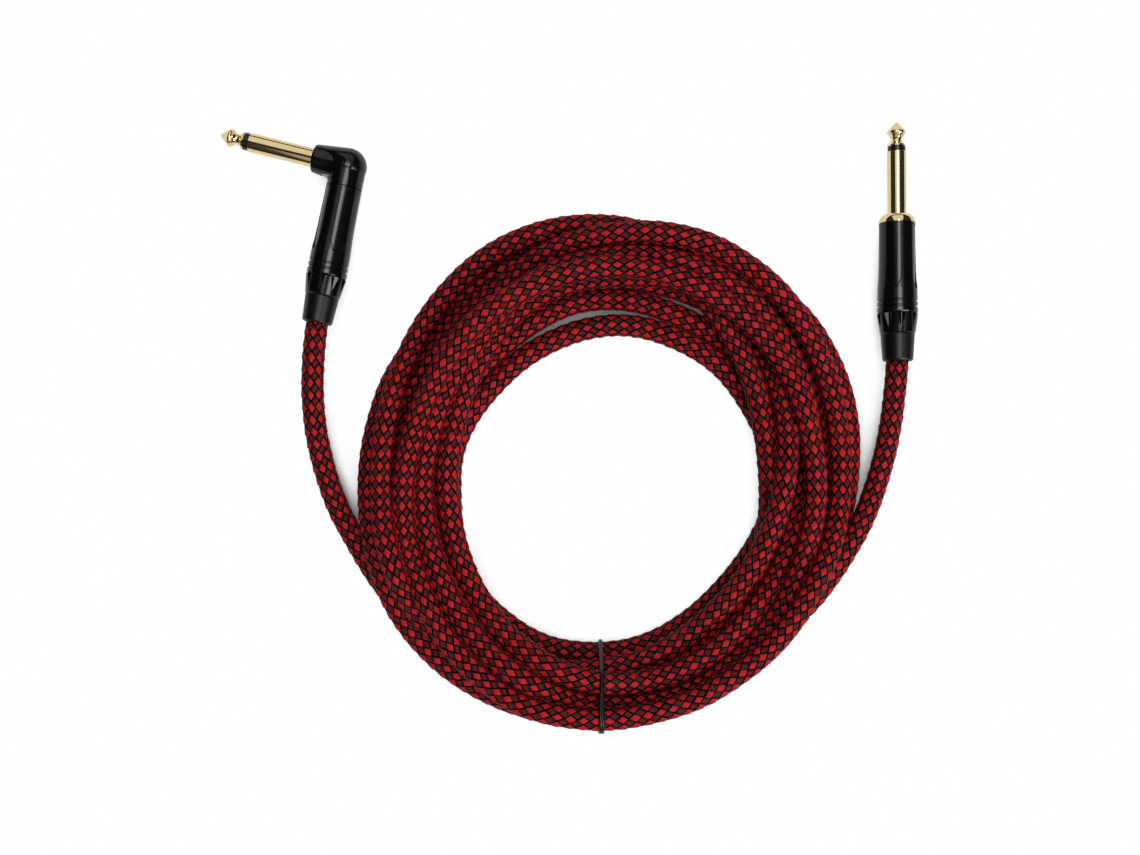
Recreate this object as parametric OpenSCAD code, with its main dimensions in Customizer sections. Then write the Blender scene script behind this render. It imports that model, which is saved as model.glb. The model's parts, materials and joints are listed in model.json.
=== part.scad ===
// Instrument cable, coiled and tied: a right-angle quarter inch plug at one
// end and a straight quarter inch plug at the other. Millimetres, +Z up.
// Origin: middle of the outline, on the surface that the cable lies on.

/* [Cable] */
// Outside diameter of the braided cable
cable_d = 7.7; // [7.4:0.05:7.7]
// Diameter of the insulated centre conductor
core_d = 1.7; // [1.2:0.1:1.8]
// Diameter of the twisted shield tail
shield_d = 1.2; // [0.8:0.1:1.2]

/* [Coil] */
// Outside radius of the coil
coil_outer_r = 86.3; // [84:0.1:88]
// Inside radius of the coil
coil_inner_r = 54; // [52:0.5:56]
// Height of the coil as it lies
coil_h = 29; // [25:0.5:32]
// Thickness of the cord that ties the coil
tie_t = 1.8; // [1.4:0.1:2.2]

/* [Plug contacts] */
// Diameter of the plug sleeve
sleeve_d = 6.35; // [6.3:0.05:6.35]
// Length of the straight plug's sleeve and tip, in front of the flange
straight_reach = 31.4; // [30:0.1:32]
// Length of the right-angle plug's sleeve and tip, in front of the head
angle_reach = 32.4; // [31.5:0.1:33]
// Widest diameter of the tip contact
tip_d = 6.1; // [5.9:0.05:6.2]
// Length of the tip contact
tip_len = 8.3; // [8.2:0.05:8.4]
// Thickness of the insulating ring behind the tip
ring_t = 1.75; // [1.5:0.05:1.9]

/* [Plug bodies] */
// Diameter of the barrel at its front
barrel_front_d = 12.1; // [12:0.1:12.5]
// Diameter of the barrel at its rear
barrel_rear_d = 13.5; // [13.4:0.1:13.8]
// Length of the barrel
barrel_len = 30.6; // [30:0.1:31]
// Length of the clamp nut
nut_len = 6.8; // [6.7:0.1:7.2]
// Diameter of the clamp nut at its rear
nut_rear_d = 11.8; // [11.7:0.1:12.1]
// Number of grip notches round the clamp nut
nut_notches = 9; // [8:1:12]
// Length of the boot behind the clamp nut
boot_len = 9.3; // [9:0.1:11]
// Diameter of the boot at its mouth
boot_end_d = 10.1; // [10:0.1:10.4]
// Number of grip pockets round the barrel
pockets = 4; // [2:1:4]

/* [Right-angle head] */
// Angle between the plug sleeve and the barrel
elbow_angle = 92.75; // [90:0.25:94]
// Radius of the rounded elbow
elbow_r = 6.25; // [6.2:0.05:6.3]
// Distance from the elbow's middle to the barrel
head_drop = 7.4; // [7.2:0.1:7.8]

/* [Hidden] */
$fn = 96;

cable_r = cable_d / 2;
sleeve_r = sleeve_d / 2;
rod_r = 1.0;
tube_r = 1.9;
spigot_r = 3.0;       // the part of the right-angle sleeve that sits in the head
flange_len = 3.0;
flange_r = 6.0;
straight_face = straight_reach + flange_len;   // front face of the barrel
boss_r = 5.0;         // threaded boss that the barrel screws onto
boss_len = 3.8;
thread_gap = 0.08;
neck_r = 5.2;         // threaded neck that the clamp nut screws onto
neck_len = nut_len - 1.9;
gap = 0.1;
end_z = barrel_len + nut_len + gap + boot_len;  // mouth of the boot
stub_out = 7;         // straight cable beyond the boot
jacket_z = 21;        // where the jacket is stripped, behind the barrel's front

// the plugs lie on the surface, each resting on its widest part
lie = 1.3;
straight_tip = [111.1, 103.64, 5.72];
elbow = [-74.9, 88.56, 6.31];
barrel_lean = 11.1;
shaft_len = angle_reach + 12;     // tip to the elbow's middle
coil_c = [13.8, -17.2];
tie_x = 10.6;

// route points of the two uncoiled stretches, behind the plugs
function along_straight(s) =
  straight_tip + s * [0, -cos(lie), sin(lie)];
function along_angle(s) =
  elbow + s * [-sin(barrel_lean) * cos(lie), -cos(barrel_lean) * cos(lie), sin(lie)];
straight_stub = straight_face + end_z + stub_out;
angle_stub = head_drop + end_z + stub_out;
route_straight = [
  along_straight(straight_stub - 0.4), along_straight(straight_stub + 4),
  [109.5, 3, 6.4], [107.5, -8, 5.1], [104.5, -19, 4.2],
  [100.5, -30, 3.95], [95, -40, 3.95], [88, -50, 3.95]
];
route_angle = [
  along_angle(angle_stub - 0.4), along_angle(angle_stub + 4),
  [-87.5, 12, 6.2], [-86.5, 2, 5.1], [-84, -10, 4.2],
  [-80.5, -22, 3.95], [-75, -34, 3.95], [-68.5, -45, 3.95], [-61, -54, 3.95]
];

// ---------- helpers ----------
function unit(v) = v / norm(v);
function cr(p0, p1, p2, p3, t) =
  0.5 * (2 * p1 + (p2 - p0) * t + (2 * p0 - 5 * p1 + 4 * p2 - p3) * t * t
  + (3 * p1 - p0 - 3 * p2 + p3) * t * t * t);
function smooth(p, k) = concat(
  [for (i = [0 : len(p) - 2], j = [0 : k - 1])
    cr(i == 0 ? 2 * p[0] - p[1] : p[i - 1], p[i], p[i + 1],
       i + 2 < len(p) ? p[i + 2] : 2 * p[i + 1] - p[i], j / k)],
  [p[len(p) - 1]]);

// round tube swept along a smoothed route
module cord(route, r, k = 2, sides = 10) {
  p = smooth(route, k);
  n = len(p);
  t = [for (i = [0 : n - 1])
    i == 0 ? unit(p[1] - p[0]) : i == n - 1 ? unit(p[n - 1] - p[n - 2]) : unit(p[i + 1] - p[i - 1])];
  pts = [for (i = [0 : n - 1])
    let (a = unit(cross(t[i], [0, 0, 1])), b = cross(a, t[i]))
    for (j = [0 : sides - 1]) p[i] + r * (cos(j * 360 / sides) * a + sin(j * 360 / sides) * b)];
  faces = concat(
    [[for (j = [0 : sides - 1]) j]],
    [for (i = [0 : n - 2], j = [0 : sides - 1])
      [i * sides + j, (i + 1) * sides + j, (i + 1) * sides + (j + 1) % sides, i * sides + (j + 1) % sides]],
    [[for (j = [0 : sides - 1]) (n - 1) * sides + sides - 1 - j]]);
  polyhedron(points = pts, faces = faces, convexity = 4);
}

module tube(ri, ro, z0, z1) {
  translate([0, 0, z0]) difference() {
    cylinder(r = ro, h = z1 - z0);
    translate([0, 0, -1]) cylinder(r = ri, h = z1 - z0 + 2);
  }
}

// plug frames: z runs from the tip towards the cable, y points up
module at_straight() translate(straight_tip) rotate([90 - lie, 0, 0]) children();
module at_elbow() translate(elbow) rotate([0, 0, -barrel_lean]) rotate([90 - lie, 0, 0]) children();
module at_shaft() at_elbow() to_shaft() children();
module to_shaft() rotate([0, 180 - elbow_angle, 0]) translate([0, 0, -shaft_len]) children();
module straight_back() at_straight() translate([0, 0, straight_face]) children();
module angle_back() at_elbow() translate([0, 0, head_drop]) children();

// ---------- coil and tie ----------
coil_mid = (coil_outer_r + coil_inner_r) / 2;
coil_hw = (coil_outer_r - coil_inner_r) / 2;
coil_hh = coil_h / 2;
coil_shape = [
  [-1.00, -0.67], [-0.92, -0.90], [-0.78, -1.00], [0.78, -1.00], [0.92, -0.90],
  [1.00, -0.67], [1.00, -0.16], [0.73, 0.63], [0.38, 1.00], [-0.38, 1.00],
  [-0.76, 0.63], [-1.00, -0.16]
];
function coil_section(inset) =
  [for (p = coil_shape) [coil_mid + p[0] * (coil_hw - inset), coil_hh + p[1] * (coil_hh - inset)]];

module cable_coil() color("firebrick") difference() {
  translate([coil_c[0], coil_c[1], 0]) rotate_extrude($fn = 180) polygon(coil_section(0));
  // the tie pulls into the bundle
  difference() {
    translate([tie_x - tie_t / 2 - 0.2, coil_c[1] - coil_outer_r - 3, -1])
      cube([tie_t + 0.4, coil_outer_r - coil_inner_r + 6, coil_h + 2]);
    translate([tie_x - tie_t, coil_c[1], 0]) rotate([90, 0, 90])
      linear_extrude(2 * tie_t) polygon([for (p = coil_section(tie_t - 0.15)) [-p[0], p[1]]]);
  }
}

module cable_tie() color("black") translate([tie_x - tie_t / 2, coil_c[1], 0]) rotate([90, 0, 90])
  linear_extrude(tie_t) difference() {
    polygon([for (p = coil_section(0)) [-p[0], p[1]]]);
    polygon([for (p = coil_section(tie_t)) [-p[0], p[1]]]);
  }

module cable_lead_angle() color("firebrick") cord(route_angle, cable_r);
module cable_lead_straight() color("firebrick") cord(route_straight, cable_r);

// ---------- contact parts shared by both plugs ----------
module tip_contact() {
  tr = tip_d / 2;
  color("gold") rotate_extrude() difference() {
    polygon(concat(
      [[0, 0], [0.35, 0.05], [0.6, 0.25]],
      [for (a = [0 : 10 : 180]) [tr - 0.9 + 0.9 * sin(a * 0.5 + 55), 3.45 - 0.9 * cos(a * 0.5 + 55)]],
      [[2.55, 4.55], [2.15, 4.98], [1.9, 5.35], [1.8, 5.75], [1.86, 6.2], [2.08, 6.75],
       [2.45, 7.25], [2.8, 7.55], [2.98, 7.72], [3.0, tip_len - 0.1], [2.9, tip_len], [0, tip_len]]));
    translate([-0.01, tip_len - 1.8]) square([rod_r + 0.01, 3]);
  }
}

module tip_insulator() color("#141414") tube(rod_r, sleeve_r - 0.2, tip_len, tip_len + ring_t);

module tip_rod(z1) color("goldenrod") {
  translate([0, 0, tip_len - 1.8]) cylinder(r = rod_r, h = z1 - 0.6 - tip_len + 1.8);
  translate([0, 0, z1 - 0.6]) cylinder(r = 1.5, h = 0.6);
}

module insulating_tube(z1) color("ivory") tube(rod_r, tube_r, tip_len + ring_t, z1);

module lug_washer(z0) color("tan") tube(rod_r, 2.9, z0, z0 + 0.8);

// ---------- rear parts shared by both plugs; z = 0 at the barrel's front ----------
module ground_lug() color("goldenrod") {
  tube(3.0, 4.7, boss_len, boss_len + 0.5);
  translate([-1.6, -3.6, boss_len + 0.2]) cube([3.2, 0.5, jacket_z - boss_len - 0.2]);
  translate([-0.8, -3.3, 15]) cube([1.6, 1.4, 0.5]);
  translate([-1.6, -4.2, jacket_z - 0.7]) cube([3.2, 1.1, 0.6]);
  // crimp arms round the jacket
  intersection() {
    tube(cable_r, cable_r + 0.5, jacket_z - 0.1, jacket_z + 2.3);
    translate([-5, -5, jacket_z - 1]) cube([10, 5.4, 4]);
  }
}

module shield_tail() color("silver")
  translate([0, -2.45, 15.5]) cylinder(d = shield_d, h = jacket_z - 15.5);

module cable_end() color("firebrick")
  translate([0, 0, jacket_z]) cylinder(r = cable_r, h = end_z + stub_out - jacket_z);

// shallow grip pockets with a flat run, a blunt rear end and sloping walls
module grip_pocket(roll) {
  lo = barrel_front_d / 2 - 0.72;
  hi = lo + 2;
  for (i = [0 : pockets - 1]) rotate([0, 0, roll + i * 360 / pockets])
    intersection() {
      tube(barrel_front_d / 2 - 0.22, 9, 0.85, 24);
      linear_extrude(24) polygon([[lo, -2.25], [hi, -3.65], [hi, 3.65], [lo, 2.25]]);
      rotate([90, 0, 0]) linear_extrude(12, center = true) polygon([[lo, 0], [hi, 0], [hi, 22.95], [lo, 21.55]]);
      pocket_corner(lo, hi, 25.7);
      pocket_corner(lo, hi, 154.3);
    }
}
module pocket_corner(lo, hi, turn) rotate([turn, 0, 0]) linear_extrude(60, center = true)
  polygon([[lo, -30], [hi, -30], [hi, 11.73], [lo, 10.33]]);

// two rings of interrupted decoration grooves
module ring_grooves(roll) {
  r = barrel_rear_d / 2;
  for (z = [barrel_len - 4.1, barrel_len - 2.2], i = [0, 180])
    rotate([0, 0, roll + i]) rotate_extrude(angle = 152)
      polygon([[r - 0.42, z - 0.14], [r + 0.1, z - 0.5], [r + 2, z - 0.5],
               [r + 2, z + 0.5], [r + 0.1, z + 0.5], [r - 0.42, z + 0.14]]);
}

module barrel(roll) {
  fr = barrel_front_d / 2;
  rr = barrel_rear_d / 2;
  color("#1a1a1c") difference() {
    rotate_extrude() polygon([
      [boss_r + thread_gap, 0], [fr - 0.2, 0], [fr, 0.2], [fr + 0.06, 6], [fr + 0.14, 12],
      [fr + 0.26, 17], [fr + 0.42, 20], [fr + 0.56, 22.5], [rr - 0.08, 25.5], [rr - 0.02, 28],
      [rr, barrel_len - 0.5], [rr - 0.15, barrel_len - 0.15], [rr - 0.35, barrel_len],
      [neck_r, barrel_len], [neck_r, barrel_len + neck_len - 0.2], [neck_r - 0.2, barrel_len + neck_len],
      [4.5, barrel_len + neck_len], [4.5, 24], [5.25, 24], [5.25, 4.6], [boss_r + thread_gap, 4.6]
    ]);
    grip_pocket(roll);
    ring_grooves(roll - 28.5);
  }
}

module barrel_liner() color("#d8d2c0") tube(4.75, 5.25, 4.8, 20);

module collet() color("#e8e4d8") difference() {
  tube(cable_r + 0.07, 4.42, 25.5, barrel_len + neck_len + 0.1);
  for (i = [0 : 2]) rotate([0, 0, i * 120]) translate([3, -0.4, 29])
    cube([2, 0.8, barrel_len + neck_len]);
}

module clamp_nut(roll) {
  z0 = barrel_len + 0.08;
  z1 = barrel_len + nut_len;
  rr = barrel_rear_d / 2 + 0.05;
  color("#161618") difference() {
    rotate_extrude() polygon([
      [neck_r + thread_gap, z0], [rr - 0.3, z0], [rr, z0 + 0.3], [nut_rear_d / 2, z1 - 0.25],
      [nut_rear_d / 2 - 0.25, z1], [4.75, z1], [4.75, z1 - 1], [neck_r + thread_gap, z1 - 1]
    ]);
    // V notches that run out towards the rear
    for (i = [0 : nut_notches - 1]) rotate([0, 0, roll + i * 360 / nut_notches])
      translate([5.95, 0, z0 - 0.3]) rotate([0, 2.2, 0]) linear_extrude(nut_len)
        polygon([[0, -0.15], [2, -3.6], [2, 3.6], [0, 0.15]]);
  }
}

module boot() {
  z0 = barrel_len + nut_len - 1.8;
  z1 = barrel_len + nut_len + gap;
  er = boot_end_d / 2;
  br = cable_r + 0.07;
  color("#101010") rotate_extrude() polygon([
    [br, z0], [5.15, z0], [5.15, z0 + 0.7], [4.65, z0 + 0.7], [4.65, z1], [5.6, z1],
    [5.66, z1 + 0.3], [er + 0.05, end_z - 0.75], [er - 0.08, end_z - 0.4], [er - 0.4, end_z - 0.08],
    [er - 0.75, end_z], [br + 0.45, end_z], [br, end_z - 0.4]
  ]);
}

// ---------- straight plug ----------
straight_rod = straight_face + boss_len + 1.9;

module straight_tip_contact() at_straight() tip_contact();
module straight_tip_insulator() at_straight() tip_insulator();
module straight_sleeve() at_straight() color("gold") rotate_extrude() polygon(concat(
  [[tube_r, tip_len + ring_t], [sleeve_r - 0.1, tip_len + ring_t], [sleeve_r, tip_len + ring_t + 0.1],
   [sleeve_r, straight_reach], [3.75, straight_reach]],
  [for (a = [7.5 : 7.5 : 90]) [3.75 + (flange_r - 3.75) * sin(a), straight_face - flange_len * cos(a)]],
  [[boss_r, straight_face], [boss_r, straight_face + boss_len], [tube_r, straight_face + boss_len]]));
module straight_insulating_tube() at_straight() insulating_tube(straight_face + boss_len);
module straight_tip_rod() at_straight() tip_rod(straight_rod);
module straight_lug_washer() at_straight() lug_washer(straight_face + boss_len);
module straight_tip_lug() at_straight() color("goldenrod") {
  z = straight_face + boss_len + 0.8;
  tube(rod_r, 2.6, z, z + 0.5);
  translate([-1.4, 1.6, z + 0.1]) cube([2.8, 0.5, 8.8]);
}
module straight_ground_lug() straight_back() ground_lug();
module straight_core_wire() straight_back() color("ivory")
  translate([0, 1.85, boss_len + 9.7]) cylinder(d = core_d, h = jacket_z - boss_len - 9.7);
module straight_shield_tail() straight_back() shield_tail();
module straight_cable_end() straight_back() cable_end();
module straight_barrel() straight_back() barrel(116.5);
module straight_barrel_liner() straight_back() barrel_liner();
module straight_collet() straight_back() collet();
module straight_clamp_nut() straight_back() clamp_nut(91.6);
module straight_boot() straight_back() boot();

// ---------- right-angle plug ----------
angle_rod = shaft_len - 1.3;

module angle_tip_contact() at_shaft() tip_contact();
module angle_tip_insulator() at_shaft() tip_insulator();
module angle_sleeve() at_shaft() color("gold") rotate_extrude() polygon([
  [tube_r, tip_len + ring_t], [sleeve_r - 0.1, tip_len + ring_t], [sleeve_r, tip_len + ring_t + 0.1],
  [sleeve_r, angle_reach], [spigot_r, angle_reach], [spigot_r, angle_reach + 4.6], [tube_r, angle_reach + 4.6]]);
module angle_insulating_tube() at_shaft() insulating_tube(angle_rod - 1.9);
module angle_tip_rod() at_shaft() tip_rod(angle_rod);
module angle_lug_washer() at_shaft() lug_washer(angle_rod - 1.9);
module angle_tip_lug() color("goldenrod") {
  at_shaft() tube(rod_r, 2.3, angle_rod - 1.1, angle_rod - 0.6);
  at_elbow() translate([-2.4, -1.1, 1.5]) cube([0.5, 2.2, 9.5]);
}
module angle_ground_lug() angle_back() ground_lug();
module angle_core_wire() at_elbow() color("ivory")
  translate([-2.15, 0, 11]) cylinder(d = core_d, h = head_drop + jacket_z - 11);
module angle_shield_tail() angle_back() shield_tail();
module angle_cable_end() angle_back() cable_end();

// outside of the elbow: a rounded body round the sleeve axis, bevelled above
// and below, a plain nose and the spigot that faces the barrel
module elbow_skin() {
  to_shaft() {
    difference() {
      rotate_extrude() polygon(concat(
        [[0, angle_reach + 1.4], [4.95, angle_reach + 1.4], [6.17, shaft_len - 1.0]],
        [for (a = [0 : 7.5 : 90]) [elbow_r * cos(a), shaft_len + elbow_r * sin(a)]]));
      for (s = [0, 1]) mirror([0, s, 0]) rotate([90, 0, 90]) translate([0, 0, -8])
        linear_extrude(16) polygon([[6.15, shaft_len], [9, shaft_len], [9, shaft_len - 12], [3.2, shaft_len - 12]]);
    }
    rotate_extrude() polygon([
      [0, angle_reach], [4.25, angle_reach], [4.7, angle_reach + 0.3], [4.86, angle_reach + 0.8],
      [5.1, shaft_len - 3.2], [0, shaft_len - 3.2]]);
  }
  translate([0, 0, -0.5]) cylinder(r = 6.05, h = head_drop - gap + 0.5);
}

module elbow_grooves() for (z = [head_drop - 2.6, head_drop - 0.9], a = [-72, 94])
  rotate([0, 0, a]) rotate_extrude(angle = a < 0 ? 124 : 161)
    translate([5.7, z - 0.3]) square([3, 0.6]);

module elbow_hollow() {
  sphere(r = 5.0);
  cylinder(r = 4.3, h = head_drop + boss_len + 1);
}

// the rear cap meets the head along a seam that leans a little off the barrel's axis
seam_x = 1.3;
seam_lean = 8.5;
module seam_side(x0, x1) translate([seam_x, 0, 0]) rotate([0, seam_lean, 0])
  translate([x0, -12, -14]) cube([x1 - x0, 24, 28]);

module angle_head() at_elbow() color("#1a1a1c") {
  difference() {
    union() {
      difference() {
        intersection() {
          elbow_skin();
          seam_side(-24, -0.07);
        }
        elbow_grooves();
      }
      translate([0, 0, 1.5]) cylinder(r = boss_r, h = head_drop + boss_len - 1.5);
    }
    elbow_hollow();
    to_shaft() {
      translate([0, 0, angle_reach - 1]) cylinder(r = spigot_r, h = 5.6);
      translate([0, 0, angle_reach]) cylinder(r = tube_r + 0.05, h = 9);
    }
  }
}

module angle_rear_cap() at_elbow() color("#1a1a1c") difference() {
  intersection() {
    elbow_skin();
    seam_side(0.07, 10);
  }
  elbow_grooves();
  sphere(r = 5.1);
  cylinder(r = boss_r + 0.1, h = head_drop + 1);
}

module angle_barrel() angle_back() barrel(151.7);
module angle_barrel_liner() angle_back() barrel_liner();
module angle_collet() angle_back() collet();
module angle_clamp_nut() angle_back() clamp_nut(93.2);
module angle_boot() angle_back() boot();

cable_coil();
cable_tie();
cable_lead_angle();
cable_lead_straight();
straight_tip_contact();
straight_tip_insulator();
straight_sleeve();
straight_insulating_tube();
straight_tip_rod();
straight_lug_washer();
straight_tip_lug();
straight_ground_lug();
straight_core_wire();
straight_shield_tail();
straight_cable_end();
straight_barrel();
straight_barrel_liner();
straight_collet();
straight_clamp_nut();
straight_boot();
angle_tip_contact();
angle_tip_insulator();
angle_sleeve();
angle_insulating_tube();
angle_tip_rod();
angle_lug_washer();
angle_tip_lug();
angle_ground_lug();
angle_core_wire();
angle_shield_tail();
angle_cable_end();
angle_head();
angle_rear_cap();
angle_barrel();
angle_barrel_liner();
angle_collet();
angle_clamp_nut();
angle_boot();
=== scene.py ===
"""Looks for the coiled instrument cable: braided jacket, tie, plug finishes, light and camera."""

import json
import math

import bpy
import numpy as np
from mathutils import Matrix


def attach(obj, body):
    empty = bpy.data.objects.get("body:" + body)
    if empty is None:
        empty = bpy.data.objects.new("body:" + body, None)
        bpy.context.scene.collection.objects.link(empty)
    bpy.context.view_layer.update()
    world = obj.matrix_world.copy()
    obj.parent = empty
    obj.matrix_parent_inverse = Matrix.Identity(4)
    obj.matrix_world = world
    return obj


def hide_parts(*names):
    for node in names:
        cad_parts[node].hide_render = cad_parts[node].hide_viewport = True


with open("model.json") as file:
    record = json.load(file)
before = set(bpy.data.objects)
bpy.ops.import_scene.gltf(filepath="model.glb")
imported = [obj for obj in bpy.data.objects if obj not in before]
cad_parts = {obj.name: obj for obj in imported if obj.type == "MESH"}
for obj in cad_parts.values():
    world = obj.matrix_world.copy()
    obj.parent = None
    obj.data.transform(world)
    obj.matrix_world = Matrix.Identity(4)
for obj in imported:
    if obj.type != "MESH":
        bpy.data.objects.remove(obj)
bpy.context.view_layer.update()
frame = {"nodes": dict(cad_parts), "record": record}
MM = 0.001
scene = bpy.context.scene

# ------------------------------------------------------------------ camera
# the camera looks straight down from 440 mm; 1278.8 picture units is its focal length
CAM_X, CAM_Y, CAM_Z, FOCAL = 0.44, -0.08, 440.0, 1278.8
cam_data = bpy.data.cameras.new("camera")
cam_data.sensor_width = 36.0
cam_data.lens = 36.0 * FOCAL / 1140.0
cam_data.clip_start = 0.01
cam_data.clip_end = 10.0
camera = bpy.data.objects.new("camera", cam_data)
camera.location = ((CAM_X - 0.17) * MM, (CAM_Y + 0.17) * MM, CAM_Z * MM)
scene.collection.objects.link(camera)
scene.camera = camera

# ------------------------------------------------------------------ route of the cable
# Millimetres. The coil is given turn by turn in polar form: angle in degrees, radius in
# picture units round the coil's middle, and height in cable layers above the ground.
D = 7.6
COIL_PX, COIL_PY = 610.0, 481.0
ELBOW = np.array([-74.9, 88.56, 6.31])
TIP = np.array([111.1, 103.64, 5.72])
LIE = math.radians(1.3)
LEAN = math.radians(11.1)
DIR_A = np.array([-math.sin(LEAN) * math.cos(LIE), -math.cos(LEAN) * math.cos(LIE), math.sin(LIE)])
DIR_S = np.array([0.0, -math.cos(LIE), math.sin(LIE)])
TIE_X = 10.6


def to_world(px, py, z):
    s = FOCAL / (CAM_Z - z)
    return CAM_X + (px - 570.0) / s, CAM_Y - (py - 427.5) / s


def to_px(x, y, z):
    s = FOCAL / (CAM_Z - z)
    return 570.0 + (x - CAM_X) * s, 427.5 - (y - CAM_Y) * s


TURNS = []


def seg(turn, points, weight):
    for th, r, level in points:
        TURNS.append((360.0 * turn + th, r, level, weight))


V=1.0; H=0.06
seg(0,[(190,266,0),(200,254,0),(205,249,0)],V)
seg(0,[(215,242,0),(230,238,0),(250,237,0),(270,236,0),(285,232,0),(300,230,0),(315,230,0),(335,232,0)],0.2)
seg(0,[(345,233,0),(355,235,0)],V)
# P
seg(1,[(0,237,0),(10,243,0),(20,248,.1),(30,251,.3),(44,252,.6),(84,253,.8),(90,256,.7),(100,259,.6),(110,259,.6),(120,256,.7),(130,250,.9),(140,244,1.1),(150,238,1.15),(160,234,1.15),(170,231,1.1),(180,230,1.1),(190,231,1.2),(200,233,1.6),(210,233,1.8),(220,231.5,1.8)],V)
seg(1,[(232,222,1.5),(245,207,1.3),(255,198,1.2)],H)
seg(1,[(265,190,1.1),(280,183,1.1),(290,176,1.1),(300,171,1.1),(310,168,1.2),(320,166,1.3),(330,166.5,1.5),(340,168,2.0),(350,171,2.1)],V)
seg(2,[(0,174.5,2.0),(10,180,1.6),(20,187,1.2),(28,193,1.0),(40,201,.8),(45,203,.7)],V)
seg(2,[(55,206,.3),(65,204,0),(80,203,0),(100,203,0),(150,199,0),(200,200,0),(240,197,0),(270,194,0),(300,186,0),(330,184,0),(347,180,0)],H)
seg(3,[(0,173,0),(12,166,0)],H)
seg(3,[(25,161,0),(50,160.5,0),(80,158,0),(100,155,0),(120,152,0),(130,152,0),(140,154,0),(150,157,0),(160,161.7,0),(165,163.5,0)],V)
seg(3,[(180,167,0),(200,174,0),(220,178,0)],H)
seg(3,[(240,178,0),(250,177.7,0),(260,174.7,0),(270,172,0),(280,168.7,0),(290,164,0),(300,160,0),(310,157,0),(320,156,0),(330,157.7,0),(340,160.7,0),(347,163.7,.2)],V)
seg(4,[(2,171,1.0),(15,175,.8),(30,179,.3)],H)
seg(4,[(45,182,0),(80,182,0),(100,183,0),(110,180,0),(120,176,0),(130,173,0),(140,171,.1)],V)
seg(4,[(155,178,0),(180,187,.3),(200,194,.5),(240,205,1.0),(270,206,1.0),(300,192,1.0),(320,178,1.0),(335,168,1.0)],H)
seg(4,[(347,163,1.2)],V)
seg(5,[(0,160,1.3),(10,160,1.2),(20,163,1.0),(30,170.5,1.0),(40,179,1.0),(50,189.5,.9),(56,197,.9),(60,202,.9),(65,210,.9),(70,214.7,.9),(75,212,.9),(80,209,.9),(85,206.5,.9),(90,205,.9),(100,204,.9),(112,200,1.0),
 (120,194,1.0),(130,186.5,1.0),(140,178,1.0),(150,171,1.0),(160,166,1.0),(170,164,1.0),(180,163.7,1.0),(200,166,1.0),(210,170,1.0),(220,175,1.1),(230,181.5,1.2),(240,188,1.4),(250,194,1.6),(260,200,1.8),
 (270,202.5,1.9),(280,202.8,1.9),(290,202,1.9),(300,199.5,1.8),(310,196,1.5),(320,193,1.2),(330,191.5,1.0),(340,190.5,1.0),(350,191.5,1.0)],V)
seg(6,[(0,197,1.0),(10,203,1.0),(20,210,1.0),(30,216,1.2),(40,222,1.3),(50,228,1.4),(60,231,1.5),(70,231.3,1.5),(80,229.8,1.5),(90,225,1.5),(100,220,1.5),(110,216,1.4),(120,207,1.2),(130,197,1.1),
 (150,190.5,1.1),(180,188.5,1.1),(190,190,1.1),(200,192.5,1.1),(210,196.5,1.2),(220,201.5,1.3),(230,207,1.5),(240,213,1.7),(250,219,2.0),(260,223,2.2),(270,225,2.4),(280,226,2.4),(290,224.5,2.3),(300,221,2.2),(310,217.5,2.1),(320,214,2.0),(330,210.5,2.0),(340,208,2.0),(350,206.5,2.0)],V)
seg(7,[(0,206.3,2.0),(20,206.5,2.2),(30,209,2.3),(50,213,2.4),(75,217,2.5),(90,216,2.5),(100,213,2.5),(110,212,2.4),
 (130,210,2.1),(140,206,1.9),(150,203.5,1.8),(160,203,1.7),(170,204,1.6),(180,207,1.6),(190,210,1.7),(200,214,1.9),(210,219,2.2),(220,226,2.6),(230,231.5,2.6),(240,237,2.4),(250,240.5,2.2),(260,239,2.1),
 (270,238,2.0),(290,234,2.0),(300,231.5,1.9),(310,230.5,1.8),(320,230,1.5),(340,229.5,1.3),(350,230,1.2)],V)
seg(8,[(0,231,1.1),(10,232.5,1.1),(20,237,1.2),(30,243,1.4),(40,249,1.6),(50,255,1.7),(65,258,1.8),(70,257.5,1.9),(80,254,1.9),(90,248,1.7),(100,242,1.4),(110,233,1.2),(118,223,.9)],V)
seg(8,[(130,216,.3),(140,218,0),(150,221,0),(165,222,0),(180,221,0),(220,218,0),(250,213,0),(280,208,0),(320,208,0),(350,213,0)],H)
seg(9,[(10,218,0),(20,222,0),(30,228,0),(40,233,0),(50,236,0),(60,238,0),(80,240,0),(100,240,0),(120,238,0),(140,237,0),(152,238,0),(160,239,0),(170,240.5,0),(180,242,0),(190,244,.4),(200,247,1.0),(210,249,1.0),(220,248.5,1.0),(230,247,1.0),(240,244,1.0),(250,241,1.0)],V)
seg(9,[(262,233,1.1),(280,225,1.1),(300,221,1.1),(315,223,1.0)],0.3)
seg(9,[(326,230,.9),(333,236,.5),(340,241.7,.1)],V)

TURNS.sort()

LEAD_A = [(312, 372, 7.0), (311.5, 385, 6.6), (312, 400, 6.0), (313.5, 415, 5.5), (315, 430, 5.0), (318, 445, 4.6), (321.5, 460, 4.3), (326, 475, 4.0), (330.5, 490, 3.9), (336.5, 505, 3.8), (343, 520, 3.8)]
LEAD_S = [(859, 527, 3.8), (866, 512, 3.8), (871.5, 497, 3.8), (876.5, 482, 3.9), (881, 467, 4.0), (885, 452, 4.3), (888, 437, 4.6), (890.5, 422, 5.0), (893, 407, 5.5), (894, 392, 6.2), (895.5, 377, 7.0)]


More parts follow.
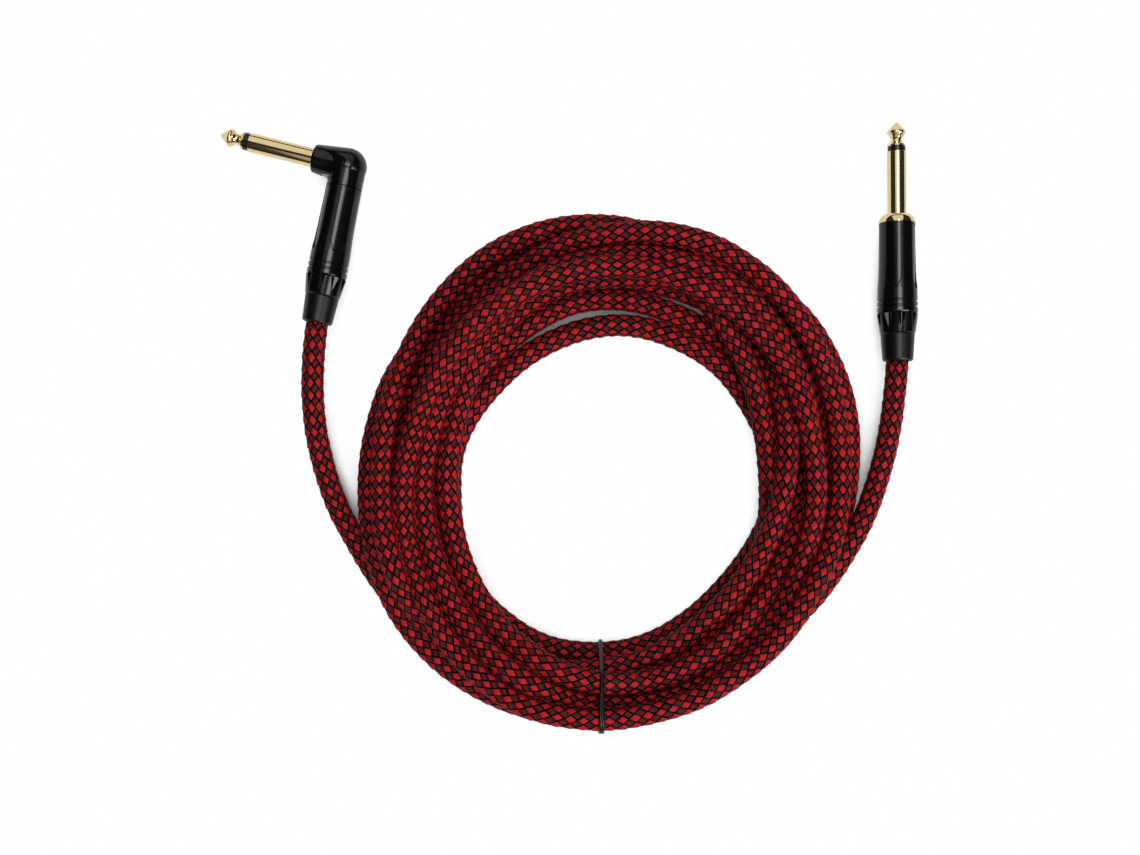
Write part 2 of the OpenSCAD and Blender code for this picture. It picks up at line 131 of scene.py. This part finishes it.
def catmull(P, k):
    """Centripetal Catmull-Rom curve through P, k points to a span."""
    out = []
    n = len(P)
    for i in range(n - 1):
        p0 = P[i - 1] if i > 0 else 2 * P[0] - P[1]
        p1, p2 = P[i], P[i + 1]
        p3 = P[i + 2] if i + 2 < n else 2 * P[-1] - P[-2]
        t0 = 0.0
        t1 = t0 + max(np.linalg.norm(p1 - p0), 1e-6) ** 0.5
        t2 = t1 + max(np.linalg.norm(p2 - p1), 1e-6) ** 0.5
        t3 = t2 + max(np.linalg.norm(p3 - p2), 1e-6) ** 0.5
        for j in range(k):
            t = t1 + (t2 - t1) * j / k
            a1 = (t1 - t) / (t1 - t0) * p0 + (t - t0) / (t1 - t0) * p1
            a2 = (t2 - t) / (t2 - t1) * p1 + (t - t1) / (t2 - t1) * p2
            a3 = (t3 - t) / (t3 - t2) * p2 + (t - t2) / (t3 - t2) * p3
            b1 = (t2 - t) / (t2 - t0) * a1 + (t - t0) / (t2 - t0) * a2
            b2 = (t3 - t) / (t3 - t1) * a2 + (t - t1) / (t3 - t1) * a3
            out.append((t2 - t) / (t2 - t1) * b1 + (t - t1) / (t2 - t1) * b2)
    out.append(P[-1])
    return np.array(out)


def ground(P):
    """Lowest height of the cable's middle: it lies on the ground, and on the tie where that passes under it."""
    lift = 1.75 * np.exp(-(((P[:, 0] - TIE_X) / 7.0) ** 2)) * (P[:, 1] < -50)
    return D / 2 + lift


def settle(P, want_px, weight, held, iters, gap):
    """Lets the turns settle on each other: each keeps its place in the layout and rests on what is under it."""
    n = len(P)
    idx = np.arange(n)
    P = P.copy()
    skip = int(math.ceil(gap * 1.6 / 3.0))
    free = 1 - held[:, None]
    k = np.where(weight > 0.5, 0.35, weight * 0.5)
    for it in range(iters):
        f = it / iters
        if it % 8 == 0:
            d2 = ((P[:, None, 0:2] - P[None, :, 0:2]) ** 2).sum(2)
            ii, jj = np.where((d2 < (gap * 1.6) ** 2) & (idx[None, :] - idx[:, None] > skip))
        P[:, 2] -= 0.16 if f < 0.6 else 0.16 * max(0.0, (0.9 - f) / 0.3)
        tx, ty = to_world(want_px[:, 0], want_px[:, 1], P[:, 2])
        P[:, 0] += k * (tx - P[:, 0])
        P[:, 1] += k * (ty - P[:, 1])
        lap = np.zeros_like(P)
        lap[1:-1] = 0.5 * (P[:-2] + P[2:]) - P[1:-1]
        lap2 = np.zeros_like(P)
        lap2[1:-1] = 0.5 * (lap[:-2] + lap[2:]) - lap[1:-1]
        P -= 0.2 * lap2 * free
        P[:, 2] += 0.30 * lap[:, 2] * (1 - held)
        low = ground(P)
        for _ in range(4):
            dv = P[jj] - P[ii]
            dist = np.sqrt((dv**2).sum(1)) + 1e-9
            m = dist < gap
            a, b = ii[m], jj[m]
            push = dv[m] / dist[m][:, None] * ((gap - dist[m]) * 0.5)[:, None] * np.array([1, 1, 1.3])
            cnt = np.bincount(a, minlength=n) + np.bincount(b, minlength=n)
            mv = np.stack([np.bincount(b, push[:, c], n) - np.bincount(a, push[:, c], n) for c in range(3)], 1)
            P += mv / np.maximum(cnt, 1)[:, None] * 1.2 * free
            P[:, 2] = np.maximum(P[:, 2], low)
    return P


def route():
    rows = []
    for t in np.arange(28.0, 56.1, 4.0):
        rows.append((*(ELBOW + DIR_A * t), 1, 1))
    for x, y, z in LEAD_A:
        rows.append((*to_world(x, y, z), z, 1, 0))
    for th, r, level, w in TURNS:
        a = math.radians(th)
        z = D / 2 + 6.4 * level
        rows.append((*to_world(COIL_PX + r * math.cos(a), COIL_PY - r * math.sin(a), z), z, w, 0))
    for x, y, z in LEAD_S:
        rows.append((*to_world(x, y, z), z, 1, 0))
    for t in np.arange(84.0, 55.9, -4.0):
        rows.append((*(TIP + DIR_S * t), 1, 1))
    rows = np.array(rows, float)
    C = catmull(rows[:, :3], 10)
    u = np.arange(len(C)) / 10
    w = np.interp(u, np.arange(len(rows)), rows[:, 3])
    held = np.interp(u, np.arange(len(rows)), rows[:, 4])
    w = np.where(w > 0.55, 1.0, w)
    d = np.linalg.norm(np.diff(C, axis=0), axis=1)
    s = np.concatenate([[0], np.cumsum(d)])
    n = int(round(s[-1] / 3.0))
    q = np.linspace(0, s[-1], n + 1)
    P = np.stack([np.interp(q, s, C[:, i]) for i in range(3)], 1)
    w = np.interp(q, s, w)
    held = (np.interp(q, s, held) > 0.99).astype(float)
    want = np.stack(to_px(P[:, 0], P[:, 1], P[:, 2]), 1)
    Q = settle(P, want, w, held, 900, 7.35)
    # behind each plug the cable comes down from the plug's axis, and inside the plugs it lies on that axis
    near = (q < 92) | (q > s[-1] - 92)
    z = np.where(near, np.maximum(Q[:, 2], P[:, 2]), Q[:, 2])
    x0, y0 = to_world(want[:, 0], want[:, 1], Q[:, 2])
    x1, y1 = to_world(want[:, 0], want[:, 1], z)
    Q = np.stack([Q[:, 0] + x1 - x0, Q[:, 1] + y1 - y0, z], 1)
    Q[held > 0.5] = P[held > 0.5]
    return Q


line = route()
# ease out the last small kinks, the ends stay put
for _ in range(6):
    line[1:-1] += 0.25 * (line[:-2] + line[2:] - 2 * line[1:-1])
curve = catmull(line, 6)
seg_len = np.linalg.norm(np.diff(curve, axis=0), axis=1)
arc = np.concatenate([[0], np.cumsum(seg_len)])
LENGTH = arc[-1]
tang = np.gradient(curve, axis=0)
tang /= np.linalg.norm(tang, axis=1)[:, None]


def at(s):
    """Point, direction, upward normal and left normal of the cable at arc lengths s."""
    p = np.stack([np.interp(s, arc, curve[:, i]) for i in range(3)], -1)
    t = np.stack([np.interp(s, arc, tang[:, i]) for i in range(3)], -1)
    t /= np.linalg.norm(t, axis=-1, keepdims=True)
    up = np.zeros_like(t)
    up[..., 2] = 1
    up -= t * t[..., 2:3]
    up /= np.linalg.norm(up, axis=-1, keepdims=True)
    left = np.cross(up, t)
    return p, t, up, left


def on_jacket(s, phi, r):
    p, t, up, left = at(s)
    return p + r[..., None] * (np.cos(phi)[..., None] * up + np.sin(phi)[..., None] * left)


# ------------------------------------------------------------------ materials
def new_mat(name):
    m = bpy.data.materials.new(name)
    m.use_nodes = True
    nt = m.node_tree
    b = nt.nodes["Principled BSDF"]
    return m, nt, b


def put(b, **kw):
    names = {"color": "Base Color", "rough": "Roughness", "metal": "Metallic", "spec": "Specular IOR Level",
             "sheen": "Sheen Weight", "sheen_rough": "Sheen Roughness", "sheen_tint": "Sheen Tint",
             "coat": "Coat Weight", "coat_rough": "Coat Roughness", "ior": "IOR"}
    for k, v in kw.items():
        b.inputs[names[k]].default_value = (*v, 1.0) if isinstance(v, tuple) else v


def coords(nt, scale=(1, 1, 1), kind="Object"):
    tc = nt.nodes.new("ShaderNodeTexCoord")
    mp = nt.nodes.new("ShaderNodeMapping")
    mp.inputs["Scale"].default_value = scale
    nt.links.new(tc.outputs[kind], mp.inputs["Vector"])
    return mp.outputs["Vector"]


def noise(nt, vec, scale, detail=3.0, rough=0.55):
    n = nt.nodes.new("ShaderNodeTexNoise")
    n.inputs["Scale"].default_value = scale
    n.inputs["Detail"].default_value = detail
    n.inputs["Roughness"].default_value = rough
    nt.links.new(vec, n.inputs["Vector"])
    return n.outputs["Fac"]


def ramp(nt, fac, stops):
    r = nt.nodes.new("ShaderNodeValToRGB")
    e = r.color_ramp.elements
    while len(e) < len(stops):
        e.new(0.5)
    for el, (pos, col) in zip(e, stops):
        el.position = pos
        el.color = (*col, 1.0) if isinstance(col, tuple) else (col, col, col, 1.0)
    nt.links.new(fac, r.inputs["Fac"])
    return r.outputs["Color"]


def bump(nt, b, height, strength, distance):
    n = nt.nodes.new("ShaderNodeBump")
    n.inputs["Strength"].default_value = strength
    n.inputs["Distance"].default_value = distance
    nt.links.new(height, n.inputs["Height"])
    nt.links.new(n.outputs["Normal"], b.inputs["Normal"])


def yarn(name, dark, light, rough, sheen, sheen_tint, spec=0.25, bumpy=0.45, depth=0.00012):
    """Filaments that run along a yarn: fine lines across V, broken up along U. UVs are in millimetres."""
    m, nt, b = new_mat(name)
    put(b, rough=rough, sheen=sheen, sheen_rough=0.45, sheen_tint=sheen_tint, spec=spec)
    vec = coords(nt, (1.1, 7.0, 1.0), "UV")
    f = noise(nt, vec, 1.0, 4.0, 0.6)
    nt.links.new(ramp(nt, f, [(0.3, dark), (0.72, light)]), b.inputs["Base Color"])
    bump(nt, b, f, bumpy, depth)
    return m


M_RED = yarn("braid_red_over", (0.27, 0.004, 0.006), (0.54, 0.009, 0.014), 0.60, 0.05, (0.9, 0.6, 0.6), 0.16)
# the same red yarn made darker where it lies lower: painted shade
M_RED_PAINTED_SHADE = yarn("braid_red_painted_shade", (0.09, 0.001, 0.003), (0.22, 0.004, 0.006), 0.7, 0.04, (0.9, 0.6, 0.6), 0.12)
M_BLACK = yarn("braid_black", (0.006, 0.001, 0.002), (0.026, 0.004, 0.006), 0.42, 0.03, (0.8, 0.7, 0.75), 0.30, 1.0, 0.0004)
# near-black core under the yarns: painted shade in the gaps between them
M_CORE_PAINTED_SHADE = yarn("braid_shadow", (0.001, 0.001, 0.001), (0.004, 0.003, 0.003), 0.9, 0.0, (0.7, 0.7, 0.7), 0.05)

# ------------------------------------------------------------------ braided cable
PITCH = 4.2      # along the cable, between one raised crossing and the next
COLUMNS = 8      # raised crossings round the cable
R_CORE = 3.60
R_LOW, R_TOP = 3.62, 3.92


def build_cable():
    verts, faces, mats, uvs = [], [], [], []
    # the dark ground of the braid, painted shade between the yarns: a closed tube with rounded-off ends
    ring_s = np.arange(0, LENGTH, 2.6)
    ring_s[-1] = LENGTH
    sides = 12
    ph = np.arange(sides) * 2 * math.pi / sides
    S, PH = np.meshgrid(ring_s, ph, indexing="ij")
    V = on_jacket(S, PH, np.full(S.shape, R_CORE)).reshape(-1, 3)
    n = len(ring_s)
    base = 0
    verts.append(V)
    i = np.arange(n - 1)[:, None] * sides
    j = np.arange(sides)[None, :]
    jn = (j + 1) % sides
    q = np.stack([i + j, i + jn, i + sides + jn, i + sides + j], -1).reshape(-1, 4)
    q = q[:, ::-1]
    faces.append(q)
    mats.append(np.zeros(len(q), int))
    uv = np.stack([S, PH * 3.5], -1).reshape(-1, 2)
    uvs.append(uv[q.reshape(-1)])
    base = len(V)
    caps = [list(range(sides)), [base - sides + k for k in range(sides)][::-1]]

    def cells(parity, ga, gb, height, mat_of_strip):
        nonlocal base
        k = np.arange(2, int(LENGTH / (PITCH / 2)) - 1)
        k = k[k % 2 == parity]
        m = np.arange(parity, 2 * COLUMNS, 2)
        K, M = np.meshgrid(k, m, indexing="ij")
        K, M = K.reshape(-1), M.reshape(-1)
        # hand-made irregularity: every crossing differs a little in size, place and height
        rnd = np.random.RandomState(11 + parity)
        grow = rnd.uniform(0.88, 1.06, (len(K), 2))
        slip = rnd.uniform(-0.035, 0.035, (len(K), 2))
        lift = rnd.uniform(-0.05, 0.04, len(K))
        A, B = np.meshgrid(ga, gb, indexing="ij")
        na, nb = len(ga), len(gb)
        a, b = A.reshape(-1), B.reshape(-1)
        aa = a[None, :] * grow[:, :1] + slip[:, :1]
        bb = b[None, :] * grow[:, 1:] + slip[:, 1:]
        s = (K[:, None] + aa + bb) * PITCH / 2
        phi = (M[:, None] + aa - bb) * math.pi / COLUMNS
        r = height.reshape(-1)[None, :] + lift[:, None]
        V = on_jacket(s, phi, r).reshape(-1, 3)
        verts.append(V)
        ia, ib = np.meshgrid(np.arange(na - 1), np.arange(nb - 1), indexing="ij")
        ia, ib = ia.reshape(-1), ib.reshape(-1)
        quad = np.stack([ia * nb + ib, ia * nb + ib + 1, (ia + 1) * nb + ib + 1, (ia + 1) * nb + ib], -1)
        f = (np.arange(len(K)) * na * nb)[:, None, None] + quad[None]
        f = f.reshape(-1, 4)
        # a unit of a runs about 2.57 mm along its yarn
        jit = (K * 7.13 + M * 3.77)[:, None]
        U = np.stack([a[None, :] * 2.57 + jit, b[None, :] * 2.57 + jit * 1.7], -1).reshape(-1, 2)
        uvs.append(U[f.reshape(-1)])
        faces.append(f + base)
        mats.append(np.tile(np.array([mat_of_strip[x] for x in ia]), len(K)))
        base += len(V)

    # raised red crossings
    ga = np.array([-0.44, -0.25, 0.25, 0.44])
    gb = np.array([-0.40, 0.0, 0.40])
    h = np.array([[R_LOW - 0.06, R_LOW + 0.12, R_LOW - 0.06], [R_LOW + 0.14, R_TOP, R_LOW + 0.14],
                  [R_LOW + 0.14, R_TOP, R_LOW + 0.14], [R_LOW - 0.06, R_LOW + 0.12, R_LOW - 0.06]])
    cells(0, ga, gb, h, [1, 1, 1])
    # black threads on both sides of a narrow red one, lower down; the narrow red one gets the red with painted shade
    ga = np.array([-0.42, -0.28, -0.16, 0.16, 0.28, 0.42])
    gb = np.array([-0.40, 0.40])
    h = np.array([[R_CORE - 0.02] * 2, [R_CORE + 0.10] * 2, [R_CORE + 0.05] * 2, [R_CORE + 0.05] * 2,
                  [R_CORE + 0.10] * 2, [R_CORE - 0.02] * 2])
    cells(1, ga, gb, h, [3, 3, 2, 3, 3])

    V = np.concatenate(verts) * MM
    F = np.concatenate(faces)
    me = bpy.data.meshes.new("braided_cable")
    nf = len(F)
    me.vertices.add(len(V))
    me.vertices.foreach_set("co", V.astype(np.float32).reshape(-1))
    loops = F.reshape(-1)
    cap_loops = [x for c in caps for x in c]
    me.loops.add(len(loops) + len(cap_loops))
    me.loops.foreach_set("vertex_index", np.concatenate([loops, cap_loops]).astype(np.int32))
    me.polygons.add(nf + 2)
    start = np.concatenate([np.arange(nf) * 4, [nf * 4, nf * 4 + sides]])
    me.polygons.foreach_set("loop_start", start.astype(np.int32))
    me.polygons.foreach_set("material_index", np.concatenate([*mats, [0, 0]]).astype(np.int32))
    me.update(calc_edges=True)
    uvl = me.uv_layers.new(name="yarn")
    U = np.concatenate([*uvs, np.zeros((len(cap_loops), 2))])
    uvl.data.foreach_set("uv", U.astype(np.float32).reshape(-1))
    me.validate()
    me.polygons.foreach_set("use_smooth", np.ones(len(me.polygons), bool))
    for m in (M_CORE_PAINTED_SHADE, M_RED, M_RED_PAINTED_SHADE, M_BLACK):
        me.materials.append(m)
    ob = bpy.data.objects.new("braided_cable", me)
    scene.collection.objects.link(ob)
    return ob


cable = build_cable()
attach(cable, "cable")
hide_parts("cable_coil", "cable_lead_angle", "cable_lead_straight", "angle_cable_end", "straight_cable_end")

# ------------------------------------------------------------------ tie
m_tie, nt, b = new_mat("tie_black")
put(b, rough=0.34, spec=0.34, sheen=0.0, sheen_rough=0.4)
vec = coords(nt, (1.0, 1.0, 1.0), "UV")
f = noise(nt, vec, 3.0, 3.0)
nt.links.new(ramp(nt, f, [(0.3, (0.002, 0.002, 0.002)), (0.75, (0.006, 0.006, 0.006))]), b.inputs["Base Color"])
bump(nt, b, f, 0.25, 0.0001)


def hull(points):
    pts = sorted(map(tuple, np.round(points, 4)))

    def half(ps):
        out = []
        for p in ps:
            while len(out) > 1 and (out[-1][0] - out[-2][0]) * (p[1] - out[-2][1]) - (out[-1][1] - out[-2][1]) * (p[0] - out[-2][0]) <= 0:
                out.pop()
            out.append(p)
        return out

    lo, hi = half(pts), half(pts[::-1])
    return np.array(lo[:-1] + hi[:-1])


def tie_loop(x, radius, out):
    """Closed loop round the bundle at x, its middle `out` above the strands."""
    cross = []
    for a, c in zip(curve[:-1], curve[1:]):
        if (a[0] - x) * (c[0] - x) <= 0 and a[1] < -40:
            t = (x - a[0]) / (c[0] - a[0] + 1e-12)
            p = a + (c - a) * min(max(t, 0), 1)
            cross.append(p[1:])
    an = np.linspace(0, 2 * math.pi, 37)[:-1]
    ring = np.concatenate([np.stack([c[0] + (3.8 + out) * np.cos(an), c[1] + (3.8 + out) * np.sin(an)], 1) for c in cross])
    H = hull(ring)
    H[:, 1] = np.maximum(H[:, 1], radius + 0.05)
    H = np.vstack([H, H[:1]])
    d = np.linalg.norm(np.diff(H, axis=0), axis=1)
    s = np.concatenate([[0], np.cumsum(d)])
    q = np.linspace(0, s[-1], 241)[:-1]
    L = np.stack([np.interp(q, s, H[:, i]) for i in range(2)], 1)
    for _ in range(10):
        L = 0.5 * L + 0.25 * (np.roll(L, 1, 0) + np.roll(L, -1, 0))
    return L


def closed_tube(name, P, radius, sides=14):
    n = len(P)
    t = np.roll(P, -1, 0) - np.roll(P, 1, 0)
    t /= np.linalg.norm(t, axis=1)[:, None]
    ax = np.array([1.0, 0, 0])
    u = ax[None] - t * (t @ ax)[:, None]
    u /= np.linalg.norm(u, axis=1)[:, None]
    w = np.cross(t, u)
    an = np.arange(sides) * 2 * math.pi / sides
    V = P[:, None] + radius * (np.cos(an)[None, :, None] * u[:, None] + np.sin(an)[None, :, None] * w[:, None])
    i = np.arange(n)[:, None]
    j = np.arange(sides)[None]
    q = np.stack([i * sides + j, i * sides + (j + 1) % sides, ((i + 1) % n) * sides + (j + 1) % sides, ((i + 1) % n) * sides + j], -1).reshape(-1, 4)
    return V.reshape(-1, 3), q


loop = tie_loop(TIE_X, 0.78, 0.28)
n = len(loop)
parts = []
y_mid = -87.0
top = loop[:, 1] > 8
turn_w = 1 / (1 + np.exp((loop[:, 0] - y_mid) / 1.2))   # 1 on the outer side of the bundle
P1 = np.column_stack([TIE_X + 0.15 * turn_w, loop])
cen = loop.mean(0)
outd = loop - cen
outd /= np.linalg.norm(outd, axis=1)[:, None]
P2 = np.column_stack([TIE_X - 0.45 * turn_w - 0.05, loop + outd * 0.10 * turn_w[:, None]])
V1, F1 = closed_tube("a", P1, 0.72)
V2, F2 = closed_tube("b", P2, 0.64)
me = bpy.data.meshes.new("tie")
me.from_pydata([tuple(v) for v in np.concatenate([V1, V2]) * MM], [], [tuple(x) for x in np.concatenate([F1, F2 + len(V1)])])
me.validate()
import bmesh

bm = bmesh.new()
bm.from_mesh(me)
bmesh.ops.recalc_face_normals(bm, faces=bm.faces)
uvl = bm.loops.layers.uv.new("around")
for face in bm.faces:
    face.smooth = True
    for lp in face.loops:
        c = lp.vert.co
        lp[uvl].uv = (c.y * 1000, c.z * 1000 + c.x * 1000)
bm.to_mesh(me)
bm.free()
me.materials.append(m_tie)
tie = bpy.data.objects.new("tie", me)
scene.collection.objects.link(tie)
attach(tie, "cable")
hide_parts("cable_tie")


# ------------------------------------------------------------------ finishes of the plugs
def metal(name, col, rough, grain=0.06, stretch=(1, 1, 1)):
    m, nt, b = new_mat(name)
    put(b, metal=1.0, rough=rough)
    vec = coords(nt, stretch)
    f = noise(nt, vec, 900.0, 3.0)
    lo = tuple(c * (1 - grain) for c in col)
    hi = tuple(min(1, c * (1 + grain)) for c in col)
    nt.links.new(ramp(nt, f, [(0.3, lo), (0.7, hi)]), b.inputs["Base Color"])
    r = nt.nodes.new("ShaderNodeMapRange")
    r.inputs["To Min"].default_value = rough * 0.85
    r.inputs["To Max"].default_value = rough * 1.15
    nt.links.new(f, r.inputs["Value"])
    nt.links.new(r.outputs["Result"], b.inputs["Roughness"])
    return m


def plain(name, lo, hi, rough, spec=0.5, coat=0.0, scale=700.0, bumpy=0.1, depth=0.00003, sheen=0.0):
    m, nt, b = new_mat(name)
    put(b, rough=rough, spec=spec, coat=coat, coat_rough=0.12, sheen=sheen)
    vec = coords(nt)
    f = noise(nt, vec, scale, 4.0)
    nt.links.new(ramp(nt, f, [(0.3, lo), (0.7, hi)]), b.inputs["Base Color"])
    r = nt.nodes.new("ShaderNodeMapRange")
    r.inputs["To Min"].default_value = rough * 0.92
    r.inputs["To Max"].default_value = min(1.0, rough * 1.08)
    nt.links.new(f, r.inputs["Value"])
    nt.links.new(r.outputs["Result"], b.inputs["Roughness"])
    bump(nt, b, f, bumpy, depth)
    return m


M_GOLD = metal("gold_plate", (0.91, 0.71, 0.38), 0.09, 0.03)
M_BRASS = metal("plain_brass", (0.70, 0.52, 0.26), 0.28)
M_TIN = metal("tinned_copper", (0.66, 0.64, 0.61), 0.35)
M_SHELL = plain("black_shell", (0.0010, 0.0010, 0.0011), (0.0020, 0.0020, 0.0021), 0.19, 0.42, 0.0, 500.0, 0.03, 0.00001)
M_BOOT = plain("black_boot", (0.0012, 0.0012, 0.0012), (0.0025, 0.0025, 0.0025), 0.36, 0.34, 0.0, 1200.0, 0.08, 0.00002)
M_RING = plain("black_insulator", (0.003, 0.003, 0.003), (0.006, 0.006, 0.006), 0.25, 0.5, 0.0, 500.0, 0.03, 0.00001)
M_IVORY = plain("ivory_insulator", (0.60, 0.55, 0.42), (0.72, 0.67, 0.53), 0.45)
M_WASHER = plain("fibre_washer", (0.26, 0.15, 0.08), (0.40, 0.25, 0.14), 0.7, 0.3, 0.0, 1600.0, 0.4, 0.00008)
BY_SLOT = {"gold_plate": M_GOLD, "plain_brass": M_BRASS, "tinned_copper": M_TIN, "black_insulator": M_RING,
           "ivory_insulator": M_IVORY, "fibre_washer": M_WASHER, "black_shell": M_SHELL, "black_boot": M_BOOT,
           "braid": M_RED_PAINTED_SHADE, "tie_cord": m_tie}
slot_of = {p["node"]: p["material_slot"] for p in frame["record"]["subparts"]}
for name, ob in frame["nodes"].items():
    m = BY_SLOT[slot_of[name]]
    if not ob.data.materials:
        ob.data.materials.append(m)
    for k in range(len(ob.material_slots)):
        ob.material_slots[k].material = m

# ------------------------------------------------------------------ floor and light
m_floor, nt, b = new_mat("floor_white")
nt.nodes.remove(b)
em = nt.nodes.new("ShaderNodeEmission")
em.inputs["Color"].default_value = (1, 1, 1, 1)
# the floor reads as pure white, but throws only a part of that light back up
path = nt.nodes.new("ShaderNodeLightPath")
level = nt.nodes.new("ShaderNodeMapRange")
level.inputs["To Min"].default_value = 0.8
level.inputs["To Max"].default_value = 0.30
nt.links.new(path.outputs["Is Diffuse Ray"], level.inputs["Value"])
cam_lvl = nt.nodes.new("ShaderNodeMath")
cam_lvl.operation = "MAXIMUM"
nt.links.new(level.outputs["Result"], cam_lvl.inputs[0])
nt.links.new(path.outputs["Is Camera Ray"], cam_lvl.inputs[1])
# and painted shadow makes it grey where two turns of the cable leave only a slit
ao = nt.nodes.new("ShaderNodeAmbientOcclusion")
ao.samples = 16
ao.inputs["Distance"].default_value = 0.04
shade = ramp(nt, ao.outputs["AO"], [(0.05, 0.07), (0.26, 0.20), (0.44, 1.0)])
nt.links.new(shade, em.inputs["Color"])
nt.links.new(cam_lvl.outputs["Value"], em.inputs["Strength"])
nt.links.new(em.outputs["Emission"], nt.nodes["Material Output"].inputs["Surface"])
me = bpy.data.meshes.new("floor")
me.from_pydata([(-0.6, -0.6, -0.0006), (0.6, -0.6, -0.0006), (0.6, 0.6, -0.0006), (-0.6, 0.6, -0.0006)], [], [(0, 1, 2, 3)])
me.materials.append(m_floor)
floor = bpy.data.objects.new("floor", me)
scene.collection.objects.link(floor)

world = bpy.data.worlds.new("studio")
scene.world = world
world.use_nodes = True
bg = world.node_tree.nodes["Background"]
bg.inputs["Color"].default_value = (1, 1, 1, 1)
# a white room to look at, a dark one for the light that falls on the object
wpath = world.node_tree.nodes.new("ShaderNodeLightPath")
wlevel = world.node_tree.nodes.new("ShaderNodeMapRange")
wlevel.inputs["To Min"].default_value = 0.03
wlevel.inputs["To Max"].default_value = 0.95
world.node_tree.links.new(wpath.outputs["Is Camera Ray"], wlevel.inputs["Value"])
world.node_tree.links.new(wlevel.outputs["Result"], bg.inputs["Strength"])


def area(name, loc, target, size, size_y, power):
    ld = bpy.data.lights.new(name, "AREA")
    ld.shape = "RECTANGLE"
    ld.size, ld.size_y = size, size_y
    ld.energy = power
    lo = bpy.data.objects.new(name, ld)
    lo.location = loc
    from mathutils import Vector
    lo.rotation_euler = (Vector(target) - Vector(loc)).to_track_quat("-Z", "Y").to_euler()
    scene.collection.objects.link(lo)
    return lo


# a soft box overhead, a white sweep behind the plugs' end and a weaker one at the other end
area("top_light", (0.13, 0.16, 1.5), (0.0, 0.0, 0), 0.62, 0.62, 8.0)
area("key_right", (0.85, -0.75, 1.05), (0, 0, 0), 0.8, 0.9, 17.0)
area("back_sweep", (0.0, 0.85, 0.85), (0, 0, 0), 1.3, 1.4, 4.2)
area("front_sweep", (-0.1, -0.85, 0.85), (0, 0, 0), 1.1, 1.4, 2.0)

scene.view_settings.view_transform = "Standard"
scene.view_settings.look = "None"
scene.view_settings.exposure = 0.0
scene.view_settings.gamma = 1.0

print("cable length", round(float(LENGTH), 1), "faces", len(cable.data.polygons))
